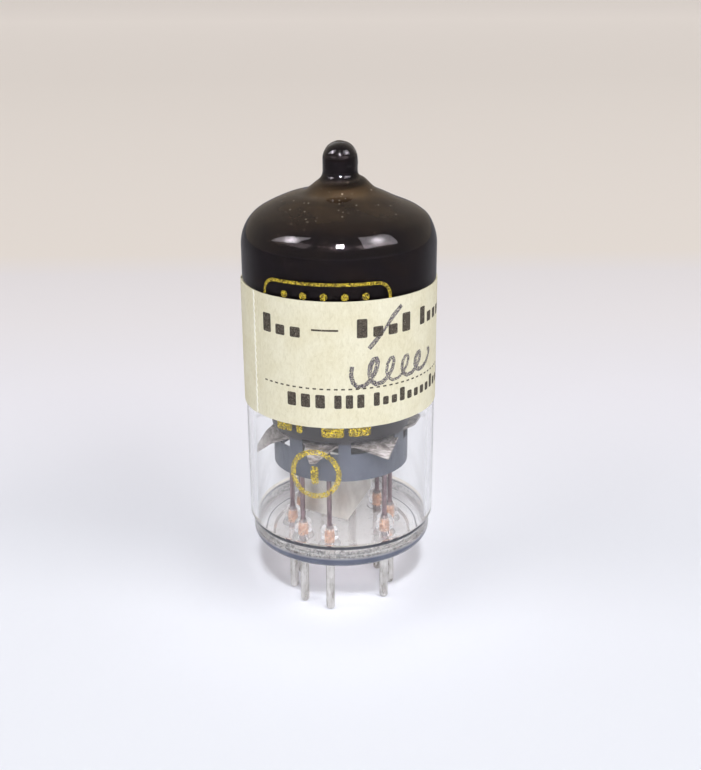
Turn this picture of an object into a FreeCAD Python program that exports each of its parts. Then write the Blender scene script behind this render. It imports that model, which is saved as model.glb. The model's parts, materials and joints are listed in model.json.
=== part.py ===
"""Miniature nine-pin vacuum tube: an all-glass, screened audio pentode.

The origin is the middle of the pin circle, on the plane that the pin tips stand on. +Z runs up the
tube's axis and the middle of the label faces -Y. All sizes are in millimetres. Azimuths are in degrees
from -Y towards +X.
"""
import FreeCAD, Part
import math
import os

from FreeCAD import Vector

# ---- standard nine-pin miniature base ----
PIN_CIRCLE_R = 11.887 / 2
PIN_R = 1.016 / 2
PIN_PITCH = 36.0
PIN_TIP_R = 0.40
GAP_AZIMUTH = 22.4            # middle of the wide gap between pin 9 and pin 1
SEAT_Z = 7.1                  # plane that a socket's face touches
PIN_TOP_Z = 7.25              # end of a pin, where its seal wire enters the glass
DIMPLE_R = 0.62               # hollow in the glass round the end of a pin
PINS = range(1, 10)

# ---- glass ----
BULB_R = 11.0
WALL = 0.8
RIM_R = 10.62
RIM_BOTTOM_Z = 7.85
RIM_CORNER_R = 1.3
BOSS_R = 8.0
BOSS_FOOT_R = 8.3
FUSE_Z = 10.7                 # where the bulb is fused to the pressed base
STEP_H = 0.6                  # height over which the bulb narrows to the base
FLOOR_Z = 9.1
FLOOR_CORNER_R = 1.1
BEAD_TOP_Z = 11.3
BEAD_R = 1.0
BEAD_FOOT_R = 1.3
BEAD_FOOT_H = 0.5

# ---- dome: shoulder arc, crown arc, flare arc, then the sealed tip ----
DOME_Z = 43.7
SHOULDER_R = 4.7
SHOULDER_END = 60.5
CROWN_R = 20.0
FLARE_R = 1.6
TIP_R = 1.94
TOTAL_H = 55.0
TIP_WALL = 0.55               # the tip's glass is drawn thinner than the bulb's
TIP_WALL_TOP = 0.8            # glass above the tip's cavity

# ---- getter ----
FILM_T = 0.05
FILM_BOTTOM_Z = 35.5
GETTER_R = 3.0
GETTER_WIRE_R = 0.35
GETTER_Z = 43.4
GETTER_POST_R = 0.2

# ---- screen around the electrodes ----
SHEET = 0.15
SKIRT_R = 7.95                # outside of the skirt, inside of the can
SKIRT_BOTTOM_Z = 17.9
SKIRT_TOP_Z = 21.2            # lower edge of the windows
CAN_BOTTOM_Z = 22.7           # upper edge of the windows
POST_TOP_Z = 24.2             # the posts between the windows lap inside the can
CAN_TOP_Z = 39.0
POSTS = ((-102, -90), (-46, -33), (-2, 8), (50, 64), (108, 120), (160, 172), (212, 224))

# ---- micas ----
MICA_T = 0.3
LOWER_MICA_R = 7.7
UPPER_MICA_R = 8.3
LOWER_MICA_Z = 21.9
UPPER_MICA_Z = CAN_TOP_Z
TOOTH_R = 10.05
TOOTH_ROOT_IN = 0.3           # a tooth starts this far inside the disc's edge
TOOTH_BEND = ((0, 0), (0.12, 0), (0.55, 0.35), (1, 1))    # how far along, and share of the drop there
# root from and to, tip from and to (azimuths), drop of the tip's two corners
LOWER_TEETH = (
    (-88, -48, -83, -77, 2.6, 2.9),
    (-33, -3, -20, -16, 1.1, 1.0),
    (9, 49, 31, 38, 1.05, -1.2),
    (66, 106, 100, 107, 0.1, 0.4),
    (122, 158, 137, 143, 1.2, 1.0),
    (174, 210, 189, 195, 0.8, 1.1),
    (226, 256, 238, 244, 1.4, 1.2),
)
UPPER_TEETH = 6
UPPER_TOOTH = (-12, 12, -6, 6, -0.9, -0.9)

# ---- electrodes, from the middle outwards ----
SLEEVE_R = 0.7
SLEEVE_BORE_R = 0.6
COATING_R = 0.78
COATED_Z = (24.0, 37.5)
HEATER_R = 0.10
HEATER_COAT_R = 0.22
HEATER_COAT_Z = (21.2, 38.2)
HEATER_LEG_X = 0.29
HEATER_TAIL_X = 1.0
HEATER_TOP_Z = 38.9
HEATER_SPREAD_Z = (20.2, 20.7)
HEATER_BEND_R = 0.25
GRID_WIRE_R = 0.05
# rod offset, rod radius, half depth of a turn, number of turns
GRIDS = {
    "control_grid": (1.90, 0.30, 0.95, 18),
    "screen_grid": (3.00, 0.35, 1.70, 14),
    "suppressor_grid": (4.30, 0.35, 2.50, 9),
}
WOUND_Z = (24.0, 37.6)
ROD_Z = (20.9, 40.3)
ANODE_A = 5.6                 # half width inside
ANODE_H = 3.3                 # half depth inside
ANODE_Z = (22.9, 38.2)
ANODE_TAB_W = 1.6

# ---- leads ----
SEAL_R = 0.35
LEAD_R = 0.28
LEAD_BEND_R = 0.5
RUN_Z = 20.0                  # height of the leads' runs under the lower mica
HEATER_RUN_Z = 18.9
HEATER_JOIN_Z = 19.6
LEAD_TOP_Z = 21.6
JOBS = {
    1: "screen_grid",
    2: "shield_right",
    3: "cathode",
    4: "heater_right",
    5: "heater_left",
    6: "anode",
    7: "shield_left",
    8: "suppressor_grid",
    9: "control_grid",
}

# ---- screening plate between the control grid's lead and the heater's leads ----
PLATE_T = 0.15
PLATE_FOOT = Vector(0.72, -1.70, 0)
PLATE_TURN = 149.0            # direction in plan from the foot to the left edge, from +X
PLATE_FOOT_Z = 9.9
PLATE_TOP_Z = 19.6
PLATE_LEFT = 6.0              # from the foot to the left edge
PLATE_RIGHT = 3.2             # from the foot to the right edge
PLATE_SHOULDER_Z = 15.0       # top of the slanted part of the right edge
PLATE_TAB_W = 0.8
PLATE_TAB_Z = 22.6

# ---- paper label ----
PAPER_T = 0.12
LABEL_Z = (25.6, 39.9)
LABEL_SEAM = -56.0
LABEL_LAP = 28.0


def plan(azimuth, radius, z=0.0):
    """Point at an azimuth and a radius."""
    a = math.radians(azimuth)
    return Vector(radius * math.sin(a), -radius * math.cos(a), z)


def pin_point(number, radius=PIN_CIRCLE_R, z=0.0):
    """Pins 1 to 9 follow each other from the gap towards +X."""
    return plan(GAP_AZIMUTH + PIN_PITCH * number, radius, z)


def upright(radius, spot, z0, z1):
    """Round bar parallel to Z."""
    return Part.makeCylinder(radius, z1 - z0, Vector(spot.x, spot.y, z0))


def tube(outer, inner, z0, z1, spot=Vector(0, 0, 0)):
    """Round tube parallel to Z."""
    return upright(outer, spot, z0, z1).cut(upright(inner, spot, z0 - 1, z1 + 1))


def lines(*points):
    """Straight edges through points given as (radius, height)."""
    spots = [Vector(r, 0, z) for r, z in points]
    return [Part.LineSegment(a, b).toShape() for a, b in zip(spots, spots[1:])]


def arc(centre, radius, start, end):
    """Arc in the XZ plane between two angles from +X."""
    turns = [math.radians(a) for a in (start, (start + end) / 2, end)]
    spots = [Vector(centre[0] + radius * math.cos(a), 0, centre[1] + radius * math.sin(a)) for a in turns]
    return Part.Arc(*spots).toShape()


def lathe(edges):
    """Solid of revolution about Z from the edges of a closed outline."""
    face = Part.Face(Part.Wire(Part.__sortEdges__(edges)))
    return face.revolve(Vector(0, 0, 0), Vector(0, 0, 1), 360)


def sector(inner, outer, start, end, z0, z1):
    """Part of a round wall between two azimuths."""
    outline = ((inner, z0), (outer, z0), (outer, z1), (inner, z1), (inner, z0))
    corners = [plan(start, radius, z) for radius, z in outline]
    section = Part.Face(Part.makePolygon(corners))
    return section.revolve(Vector(0, 0, 0), Vector(0, 0, 1), end - start)


def racetrack(half_width, half_depth, z):
    """Closed wire of two straights and two half circles, longer along X."""
    straight = half_width - half_depth
    corners = [Vector(x, y, z) for x, y in (
        (-straight, -half_depth), (straight, -half_depth), (straight, half_depth), (-straight, half_depth))]
    right = Part.Arc(corners[1], Vector(half_width, 0, z), corners[2]).toShape()
    left = Part.Arc(corners[3], Vector(-half_width, 0, z), corners[0]).toShape()
    front = Part.LineSegment(corners[0], corners[1]).toShape()
    back = Part.LineSegment(corners[2], corners[3]).toShape()
    return Part.Wire([front, right, back, left])


def bent_wire(points, radius=LEAD_R, bend=LEAD_BEND_R):
    """Round wire of straight runs joined by tangent arcs."""
    edges = []
    start = points[0]
    for before, corner, after in zip(points, points[1:], points[2:]):
        back = (before - corner).normalize()
        on = (after - corner).normalize()
        half = back.getAngle(on) / 2
        first = corner + back * (bend / math.tan(half))
        last = corner + on * (bend / math.tan(half))
        middle = corner + (back + on).normalize() * (bend / math.sin(half) - bend)
        edges.append(Part.LineSegment(start, first).toShape())
        edges.append(Part.Arc(first, middle, last).toShape())
        start = last
    edges.append(Part.LineSegment(start, points[-1]).toShape())
    section = Part.Wire(Part.makeCircle(radius, points[0], points[1] - points[0]))
    return Part.Wire(edges).makePipeShell([section], True, False)


# ---- glass ----

def tip_radius(inset):
    """Radius of the tip's outline moved in by an inset of the bulb's."""
    return TIP_R - inset + (WALL - TIP_WALL if inset else 0)


def dome(inset):
    """The arcs from the top of the bulb's wall to the foot of its tip, and the height that they reach.

    A positive inset gives the same outline moved into the glass.
    """
    turn = math.radians(SHOULDER_END)
    shoulder = BULB_R - SHOULDER_R
    crown_x = shoulder + (SHOULDER_R - CROWN_R) * math.cos(turn)
    crown_z = DOME_Z + (SHOULDER_R - CROWN_R) * math.sin(turn)
    reach = CROWN_R + FLARE_R
    flare_x = tip_radius(inset) + FLARE_R + inset
    crown_end = math.degrees(math.acos((flare_x - crown_x) / reach))
    flare = (flare_x, crown_z + reach * math.sin(math.radians(crown_end)))
    edges = [
        arc((shoulder, DOME_Z), SHOULDER_R - inset, 0, SHOULDER_END),
        arc((crown_x, crown_z), CROWN_R - inset, SHOULDER_END, crown_end),
        arc(flare, FLARE_R + inset, 180 + crown_end, 180),
    ]
    return edges, flare[1]


def bulb_form(inset, top):
    """Everything within the bulb's outline moved in by an inset, with a round top to the tip."""
    edges, flare_z = dome(inset)
    tip_r = tip_radius(inset)
    wall_r = BULB_R - inset
    edges += lines((tip_r, flare_z), (tip_r, top - tip_r))
    edges += [arc((0, top - tip_r), tip_r, 0, 90)]
    edges += lines((0, top), (0, FUSE_Z), (wall_r, FUSE_Z), (wall_r, DOME_Z))
    return lathe(edges)


def glass_bulb():
    """Blown envelope with its sealed tip, narrowed a little where it is fused to the base."""
    step = lathe(lines((RIM_R, FUSE_Z), (BULB_R, FUSE_Z + STEP_H), (BULB_R + 1, FUSE_Z + STEP_H),
                       (BULB_R + 1, FUSE_Z), (RIM_R, FUSE_Z)))
    return bulb_form(0, TOTAL_H).cut(bulb_form(WALL, TOTAL_H - TIP_WALL_TOP)).cut(step)


def bead(number):
    """Glass drawn up round one lead where it leaves the base."""
    round_z = BEAD_TOP_Z - BEAD_R + SEAL_R
    under = FLOOR_Z - 0.3
    edges = lines((SEAL_R, BEAD_TOP_Z), (0, BEAD_TOP_Z), (0, under), (BEAD_FOOT_R, under),
                  (BEAD_FOOT_R, FLOOR_Z), (BEAD_R, FLOOR_Z + BEAD_FOOT_H), (BEAD_R, round_z))
    edges += [arc((SEAL_R, round_z), BEAD_R - SEAL_R, 0, 90)]
    return lathe(edges).translated(pin_point(number))


def glass_base():
    """Pressed glass button: dished floor with nine beads, rounded rim, flat boss that the pins leave."""
    inner = BULB_R - WALL
    corner_z = RIM_BOTTOM_Z + RIM_CORNER_R
    dish_z = FLOOR_Z + FLOOR_CORNER_R
    outline = lines((inner - FLOOR_CORNER_R, FLOOR_Z), (0, FLOOR_Z), (0, SEAT_Z), (BOSS_R, SEAT_Z),
                    (BOSS_FOOT_R, RIM_BOTTOM_Z), (RIM_R - RIM_CORNER_R, RIM_BOTTOM_Z))
    outline += [arc((RIM_R - RIM_CORNER_R, corner_z), RIM_CORNER_R, -90, 0)]
    outline += lines((RIM_R, corner_z), (RIM_R, FUSE_Z), (inner, FUSE_Z), (inner, dish_z))
    outline += [arc((inner - FLOOR_CORNER_R, dish_z), FLOOR_CORNER_R, 0, -90)]
    base = lathe(outline).multiFuse([bead(n) for n in PINS])
    bores = [upright(DIMPLE_R, pin_point(n), SEAT_Z - 1, PIN_TOP_Z) for n in PINS]
    bores += [upright(SEAL_R, pin_point(n), SEAT_Z, BEAD_TOP_Z + 1) for n in PINS]
    return base.cut(bores).removeSplitter()


# ---- pins, seal wires and leads ----

def contact_pin(number):
    """Stiff pin with a rounded tip, its other end in a dimple of the base."""
    flat = PIN_R - PIN_TIP_R
    edges = lines((flat, 0), (0, 0), (0, PIN_TOP_Z), (PIN_R, PIN_TOP_Z), (PIN_R, PIN_TIP_R))
    edges += [arc((flat, PIN_TIP_R), PIN_TIP_R, -90, 0)]
    return lathe(edges).translated(pin_point(number))


def seal_wire(number):
    """Copper-clad wire between a pin and its lead, sealed into the glass and its bead."""
    return upright(SEAL_R, pin_point(number), PIN_TOP_Z, BEAD_TOP_Z)


def grid_side(name):
    """The side of the axis where a grid's lead joins its rod."""
    return 1 if name == "screen_grid" else -1


def inner_lead(number):
    """Nickel lead from a seal wire up to the piece that the pin serves."""
    foot = pin_point(number, z=BEAD_TOP_Z)
    job = JOBS[number]
    if job.startswith("shield"):
        wall_r = SKIRT_R - SHEET - LEAD_R
        below = pin_point(number, z=SKIRT_BOTTOM_Z - 1.2)
        inside = [pin_point(number, wall_r, z) for z in (SKIRT_BOTTOM_Z + 0.8, SKIRT_TOP_Z)]
        return bent_wire([foot, below] + inside)
    run_z = RUN_Z
    join_z = LEAD_TOP_Z
    if job in GRIDS:
        target = Vector(grid_side(job) * GRIDS[job][0], 0, 0)
        join_z = ROD_Z[0]
    elif job.startswith("heater"):
        target = Vector(HEATER_TAIL_X if job == "heater_right" else -HEATER_TAIL_X, 0, 0)
        run_z = HEATER_RUN_Z
        join_z = HEATER_JOIN_Z
    elif job == "anode":
        target = Vector(-ANODE_A - SHEET - LEAD_R, 0, 0)
    else:
        target = pin_point(number, SLEEVE_R + LEAD_R)
    return bent_wire([foot, Vector(foot.x, foot.y, run_z), Vector(target.x, target.y, run_z),
                      Vector(target.x, target.y, join_z)])


# ---- screen and screening plate ----

def screen_skirt():
    """Lower ring of the screen, with posts that rise between the mica's teeth into the can."""
    ring = tube(SKIRT_R, SKIRT_R - SHEET, SKIRT_BOTTOM_Z, SKIRT_TOP_Z)
    return ring.multiFuse([sector(SKIRT_R - SHEET, SKIRT_R, a, b, SKIRT_TOP_Z, POST_TOP_Z) for a, b in POSTS])


def screen_can():
    """Plain sheet cylinder round the electrodes."""
    return tube(SKIRT_R + SHEET, SKIRT_R, CAN_BOTTOM_Z, CAN_TOP_Z)


def screening_plate():
    """Upright plate with a slanted right edge, hung from the lower mica by two tabs."""
    outline = [
        (0, PLATE_FOOT_Z), (PLATE_LEFT, PLATE_FOOT_Z), (PLATE_LEFT, PLATE_TAB_Z),
        (PLATE_LEFT - PLATE_TAB_W, PLATE_TAB_Z), (PLATE_LEFT - PLATE_TAB_W, PLATE_TOP_Z),
        (PLATE_TAB_W - PLATE_RIGHT, PLATE_TOP_Z), (PLATE_TAB_W - PLATE_RIGHT, PLATE_TAB_Z),
        (-PLATE_RIGHT, PLATE_TAB_Z), (-PLATE_RIGHT, PLATE_SHOULDER_Z), (0, PLATE_FOOT_Z),
    ]
    face = Part.Face(Part.makePolygon([Vector(x, -PLATE_T / 2, z) for x, z in outline]))
    plate = face.extrude(Vector(0, PLATE_T, 0))
    plate.rotate(Vector(0, 0, 0), Vector(0, 0, 1), PLATE_TURN)
    return plate.translated(PLATE_FOOT)


# ---- micas ----

def mica_tooth(root_r, z, root_from, root_to, tip_from, tip_to, drop_from, drop_to):
    """Springy tooth that narrows and bends from the disc's edge to the glass."""
    sections = []
    for along, bend in TOOTH_BEND:
        radius = root_r + (TOOTH_R - root_r) * along
        corners = []
        for root, tip, drop in ((root_from, tip_from, drop_from), (root_to, tip_to, drop_to)):
            corners.append(plan(root + (tip - root) * along, radius, z - drop * bend))
        up = Vector(0, 0, MICA_T)
        loop = [corners[0], corners[1], corners[1] + up, corners[0] + up, corners[0]]
        sections.append(Part.makePolygon(loop))
    return Part.makeLoft(sections, True, True)


def electrode_holes():
    """Everything that passes through both micas."""
    through = [upright(SLEEVE_R, Vector(0, 0, 0), *ROD_Z)]
    for offset, rod_r, _, _ in GRIDS.values():
        through += [upright(rod_r, Vector(side * offset, 0, 0), *ROD_Z) for side in (-1, 1)]
    return through + anode_tabs()


def lower_mica():
    disc = upright(LOWER_MICA_R, Vector(0, 0, 0), LOWER_MICA_Z, LOWER_MICA_Z + MICA_T)
    root_r = LOWER_MICA_R - TOOTH_ROOT_IN
    teeth = [mica_tooth(root_r, LOWER_MICA_Z, *tooth) for tooth in LOWER_TEETH]
    return disc.multiFuse(teeth).cut(electrode_holes() + [screening_plate()])


def upper_mica():
    disc = upright(UPPER_MICA_R, Vector(0, 0, 0), UPPER_MICA_Z, UPPER_MICA_Z + MICA_T)
    root_r = UPPER_MICA_R - TOOTH_ROOT_IN
    teeth = [mica_tooth(root_r, UPPER_MICA_Z, *UPPER_TOOTH) for _ in range(UPPER_TEETH)]
    for count, tooth in enumerate(teeth):
        tooth.rotate(Vector(0, 0, 0), Vector(0, 0, 1), count * 360 / UPPER_TEETH)
    return disc.multiFuse(teeth).cut(electrode_holes() + getter_posts())


# ---- electrodes ----

def anode_tabs():
    """One strip at each end of the anode, through both micas."""
    size = (SHEET, ANODE_TAB_W, ROD_Z[1] - ROD_Z[0])
    return [Part.makeBox(*size, Vector(x, -ANODE_TAB_W / 2, ROD_Z[0])) for x in (ANODE_A, -ANODE_A - SHEET)]


def anode():
    z0, z1 = ANODE_Z
    up = Vector(0, 0, z1 - z0)
    outside = Part.Face(racetrack(ANODE_A + SHEET, ANODE_H + SHEET, z0)).extrude(up)
    inside = Part.Face(racetrack(ANODE_A, ANODE_H, z0)).extrude(up)
    return outside.cut(inside).multiFuse(anode_tabs())


def grid_rods(name):
    offset, rod_r, _, _ = GRIDS[name]
    return Part.makeCompound([upright(rod_r, Vector(side * offset, 0, 0), *ROD_Z) for side in (-1, 1)])


def grid_winding(name):
    """Turns of fine wire round the outside of a grid's two rods."""
    offset, rod_r, half_depth, turns = GRIDS[name]
    path = racetrack(offset + rod_r + GRID_WIRE_R, half_depth, 0)
    start = path.Vertexes[0].Point
    section = Part.Wire(Part.makeCircle(GRID_WIRE_R, start, Vector(1, 0, 0)))
    turn = path.makePipeShell([section], True, False)
    z0, z1 = WOUND_Z
    pitch = (z1 - z0) / (turns - 1)
    return Part.makeCompound([turn.translated(Vector(0, 0, z0 + pitch * n)) for n in range(turns)])


def cathode_sleeve():
    return tube(SLEEVE_R, SLEEVE_BORE_R, *ROD_Z)


def cathode_coating():
    return tube(COATING_R, SLEEVE_R, *COATED_Z)


def heater():
    """Hairpin inside the sleeve, with tails spread to meet their leads."""
    half = [(HEATER_TAIL_X, HEATER_JOIN_Z), (HEATER_TAIL_X, HEATER_SPREAD_Z[0]),
            (HEATER_LEG_X, HEATER_SPREAD_Z[1]), (HEATER_LEG_X, HEATER_TOP_Z)]
    points = [Vector(-x, 0, z) for x, z in half] + [Vector(x, 0, z) for x, z in reversed(half)]
    return bent_wire(points, HEATER_R, HEATER_BEND_R)


def heater_insulation():
    """White ceramic on the two legs."""
    legs = [Vector(side * HEATER_LEG_X, 0, 0) for side in (-1, 1)]
    return Part.makeCompound([tube(HEATER_COAT_R, HEATER_R, *HEATER_COAT_Z, leg) for leg in legs])


# ---- getter ----

def getter_posts():
    spots = [Vector(0, side * GETTER_R, 0) for side in (-1, 1)]
    return [upright(GETTER_POST_R, spot, UPPER_MICA_Z - 0.5, GETTER_Z - GETTER_WIRE_R) for spot in spots]


def getter_ring():
    return Part.makeTorus(GETTER_R, GETTER_WIRE_R, Vector(0, 0, GETTER_Z))


def getter_film():
    """Metal film flashed onto the inside of the dome and the upper wall."""
    top = TOTAL_H - TIP_WALL_TOP
    film = bulb_form(WALL, top).cut(bulb_form(WALL + FILM_T, top - FILM_T))
    return film.cut(upright(BULB_R, Vector(0, 0, 0), 0, FILM_BOTTOM_Z))


# ---- label ----

def paper_label():
    """Paper strip wound once round the bulb, its end lapped over its start."""
    turn = tube(BULB_R + PAPER_T, BULB_R, *LABEL_Z)
    lap = sector(BULB_R + PAPER_T, BULB_R + 2 * PAPER_T, LABEL_SEAM - LABEL_LAP, LABEL_SEAM, *LABEL_Z)
    return turn.fuse(lap)


def pieces():
    made = {
        "glass_bulb": glass_bulb(),
        "glass_base": glass_base(),
        "screen_skirt": screen_skirt(),
        "screen_can": screen_can(),
        "screening_plate": screening_plate(),
        "lower_mica": lower_mica(),
        "upper_mica": upper_mica(),
        "anode": anode(),
        "cathode_sleeve": cathode_sleeve(),
        "cathode_coating": cathode_coating(),
        "heater": heater(),
        "heater_insulation": heater_insulation(),
        "getter_ring": getter_ring(),
        "getter_posts": Part.makeCompound(getter_posts()),
        "getter_film": getter_film(),
        "paper_label": paper_label(),
    }
    for name in GRIDS:
        made[f"{name}_rods"] = grid_rods(name)
        made[f"{name}_winding"] = grid_winding(name)
    for number in PINS:
        made[f"pin_{number}"] = contact_pin(number)
        made[f"seal_wire_{number}"] = seal_wire(number)
        made[f"lead_{number}_{JOBS[number]}"] = inner_lead(number)
    return made


def main():
    os.makedirs("parts", exist_ok=True)
    for name, shape in pieces().items():
        shape.exportStep(f"parts/{name}.step")
        print(f"{name}: {len(shape.Solids)} solids, valid {shape.isValid()}, {shape.Volume:.3f} mm3")


main()
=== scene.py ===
"""Looks of the miniature nine-pin vacuum tube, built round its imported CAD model.

Sizes in the tables are in millimetres, as in the part's source, and meshes are in metres. Azimuths are
in degrees from -Y towards +X. "along" is the distance round the bulb from the middle of the label.
"""

import json
import math

import bpy
from mathutils import Matrix, Vector, noise


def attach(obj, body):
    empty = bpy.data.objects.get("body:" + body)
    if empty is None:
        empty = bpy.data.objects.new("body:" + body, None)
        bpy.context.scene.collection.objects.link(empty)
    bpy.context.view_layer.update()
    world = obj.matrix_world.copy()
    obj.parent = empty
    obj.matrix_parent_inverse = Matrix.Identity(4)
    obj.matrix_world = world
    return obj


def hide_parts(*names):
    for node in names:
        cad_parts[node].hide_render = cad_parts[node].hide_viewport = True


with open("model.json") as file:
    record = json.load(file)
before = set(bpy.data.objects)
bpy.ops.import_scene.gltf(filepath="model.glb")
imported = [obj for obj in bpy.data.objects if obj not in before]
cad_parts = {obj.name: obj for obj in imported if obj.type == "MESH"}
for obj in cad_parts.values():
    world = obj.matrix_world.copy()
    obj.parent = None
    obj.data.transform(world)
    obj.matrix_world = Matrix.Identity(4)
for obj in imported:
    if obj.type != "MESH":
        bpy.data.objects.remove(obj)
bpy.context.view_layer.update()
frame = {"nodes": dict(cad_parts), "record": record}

MM = 0.001

# ---- camera: its place, its turns in degrees, its lens and the width of its sensor ----
CAMERA_AT = (0.0, -127.575, 73.924)
CAMERA_PITCH = 20.380          # degrees down
CAMERA_YAW = 0.537
CAMERA_ROLL = -0.350
CAMERA_LENS = 54.15
SENSOR_W = 36.0

# ---- glass: the part's profile, to which the visual model adds an uneven crown and a lumpy tip ----
BULB_R = 11.0
WALL = 0.83                    # a little over the part's 0.8, so the getter film lies in the glass
RIM_R = 10.62
FUSE_Z = 10.7
STEP_H = 0.6
JOINT_GAP = 0.02               # between bulb and base, so that their faces don't coincide
DOME_Z = 43.7
SHOULDER_R = 4.7
SHOULDER_END = 60.5
CROWN_R = 20.0
FLARE_R = 1.6
TIP_R = 1.94
TOTAL_H = 55.0
TIP_THIN = 0.25                # the tip's wall is this much thinner than the bulb's
CAVITY_TOP_Z = 54.2
# the dome isn't quite round: how far it rises on its right and on its left, at which radius, how widely
RIGHT_HILLS = ((0.85, 2.7, 0.9), (-0.26, 6.8, 1.9), (0.28, 10.3, 0.6))
LEFT_HILLS = ((0.42, 2.6, 0.9), (-0.20, 4.1, 1.0))
HILLS_END_Z = 52.4             # the rises fade over the last part below this height
HILLS_FADE = 0.9
HILLS_EDGE = 1.5               # and over this much radius next to the straight wall
TIP_LEAN = 0.20                # how far the tip stands off the axis
LEAN_FROM_Z = 47.0             # the glass starts to lean here
LEAN_RISE = 4.5                # and leans in full this much higher
LUMP_DEPTH = 0.07              # lumps of the tip
LUMPS_FROM_Z = 52.5
LUMPS_PER_METRE = 750
STEP_CORNER_R = 0.32           # corner over the step where bulb and base are fused
WALL_RINGS_Z = (12.0, 20.0, 30.0, 39.0)
TURNS = 192                    # steps round a piece of glass

# ---- getter film ----
FILM_OUT = 0.80                # from the outside of the bulb to the film's two faces
FILM_IN = 0.85
FILM_BOTTOM_Z = 35.5
FILM_TOP_OUT = 0.03            # its two faces over and under the cavity's top
FILM_TOP_IN = 0.02

# ---- pins and seal wires ----
PIN_CIRCLE_R = 11.887 / 2
GAP_AZIMUTH = 22.4
PIN_PITCH = 36.0
PIN_R = 1.016 / 2
PIN_TIP_R = 0.40
PIN_TOP_Z = 7.23
PIN_RINGS_Z = (1.5, 3.0, 4.5, 6.0)
PIN_EDGE = 0.04
SEAL_R = 0.37                  # a little over the part's 0.35, so its surface lies in the glass
SEAL_Z = (7.2, 11.32)
SEAL_EDGE = 0.06
PINS = range(1, 10)

# ---- paper label ----
LABEL_Z = (25.6, 39.9)
LABEL_R = 11.005
PAPER_T = 0.09
LAP_RISE = 0.094
LAP_FROM = 264.0               # azimuths over which the sheet climbs onto its own start
LAP_TO = 276.0
SHEET_FROM = -84.0
SHEET_TO = 304.0
PAPER_RIPPLE = 0.012           # how far the sheet lifts off the glass in places
PAPER_WAVER = 0.05             # how far its long edges stray
SERRATION = 0.17
SERRATION_PITCH = 0.75
BITTEN = 3.0                   # degrees of the free end that the serration pulls in
SHEET_COLUMNS = 259
SHEET_ROWS = 96
INK_LIFT = 0.006
GLASS_PRINT_LIFT = 0.003


# ---------------------------------------------------------------- meshes

def spot(azimuth, radius, z):
    """Point in metres from an azimuth, a radius and a height."""
    a = math.radians(azimuth)
    return radius * math.sin(a) * MM, -radius * math.cos(a) * MM, z * MM


def piece(name, verts, faces, slot, sharp=40):
    """New smooth mesh object that moves with the tube."""
    mesh = bpy.data.meshes.new(name)
    mesh.from_pydata(verts, [], faces)
    mesh.update()
    mesh.shade_smooth()
    mesh.set_sharp_from_angle(angle=math.radians(sharp))
    made = bpy.data.objects.new(name, mesh)
    bpy.context.scene.collection.objects.link(made)
    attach(made, "root")
    mesh.materials.append(LOOKS[slot])
    return made


def lathe(outline, turns=TURNS, centre=(0.0, 0.0), shape=spot):
    """Vertices and faces of an outline turned about Z. Its two ends lie on the axis."""
    cx, cy = centre
    rings = outline[1:-1]
    verts = []
    for r, z in rings:
        for n in range(turns):
            azimuth = 360 * n / turns
            x, y, height = shape(azimuth, r, z)
            verts.append((x + cx * MM, y + cy * MM, height))
    faces = []
    for i in range(len(rings) - 1):
        for n in range(turns):
            a, b = i * turns + n, i * turns + (n + 1) % turns
            faces.append((a, b, b + turns, a + turns))
    for end, row, flip in ((outline[0], 0, True), (outline[-1], len(rings) - 1, False)):
        pole = len(verts)
        x, y, height = shape(0, 0, end[1])
        verts.append((x + cx * MM, y + cy * MM, height))
        for n in range(turns):
            a, b = row * turns + n, row * turns + (n + 1) % turns
            faces.append((b, a, pole) if flip else (a, b, pole))
    return verts, faces


def arc(centre, radius, start, end, steps):
    """Points (radius, height) on an arc between two angles from +X."""
    turns = [math.radians(start + (end - start) * n / steps) for n in range(steps + 1)]
    return [(centre[0] + radius * math.cos(a), centre[1] + radius * math.sin(a)) for a in turns]


def dome(inset, top):
    """Outline from the top of the bulb's wall, over the dome and up the tip, to the axis."""
    turn = math.radians(SHOULDER_END)
    shoulder = BULB_R - SHOULDER_R
    back = SHOULDER_R - CROWN_R
    crown = (shoulder + back * math.cos(turn), DOME_Z + back * math.sin(turn))
    reach = CROWN_R + FLARE_R
    tip_r = TIP_R - inset + (TIP_THIN if inset else 0)
    flare_x = tip_r + FLARE_R + inset
    crown_end = math.degrees(math.acos((flare_x - crown[0]) / reach))
    flare = (flare_x, crown[1] + reach * math.sin(math.radians(crown_end)))
    points = arc((shoulder, DOME_Z), SHOULDER_R - inset, 0, SHOULDER_END, 28)
    points += arc(crown, CROWN_R - inset, SHOULDER_END, crown_end, 24)[1:]
    points += arc(flare, FLARE_R + inset, 180 + crown_end, 180, 14)[1:]
    points += [(tip_r, flare[1] + (top - tip_r - flare[1]) * n / 6) for n in range(1, 6)]
    points += arc((0, top - tip_r), tip_r, 0, 90, 14)
    return points[:-1] + [(0.0, top)]


def hills(r, rows):
    """Smooth rises round the axis, gone where the dome meets the straight wall."""
    total = sum(height * math.exp(-((r - peak) / spread) ** 2) for height, peak, spread in rows)
    return total * min(1.0, max(0.0, (BULB_R - r) / HILLS_EDGE))


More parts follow.
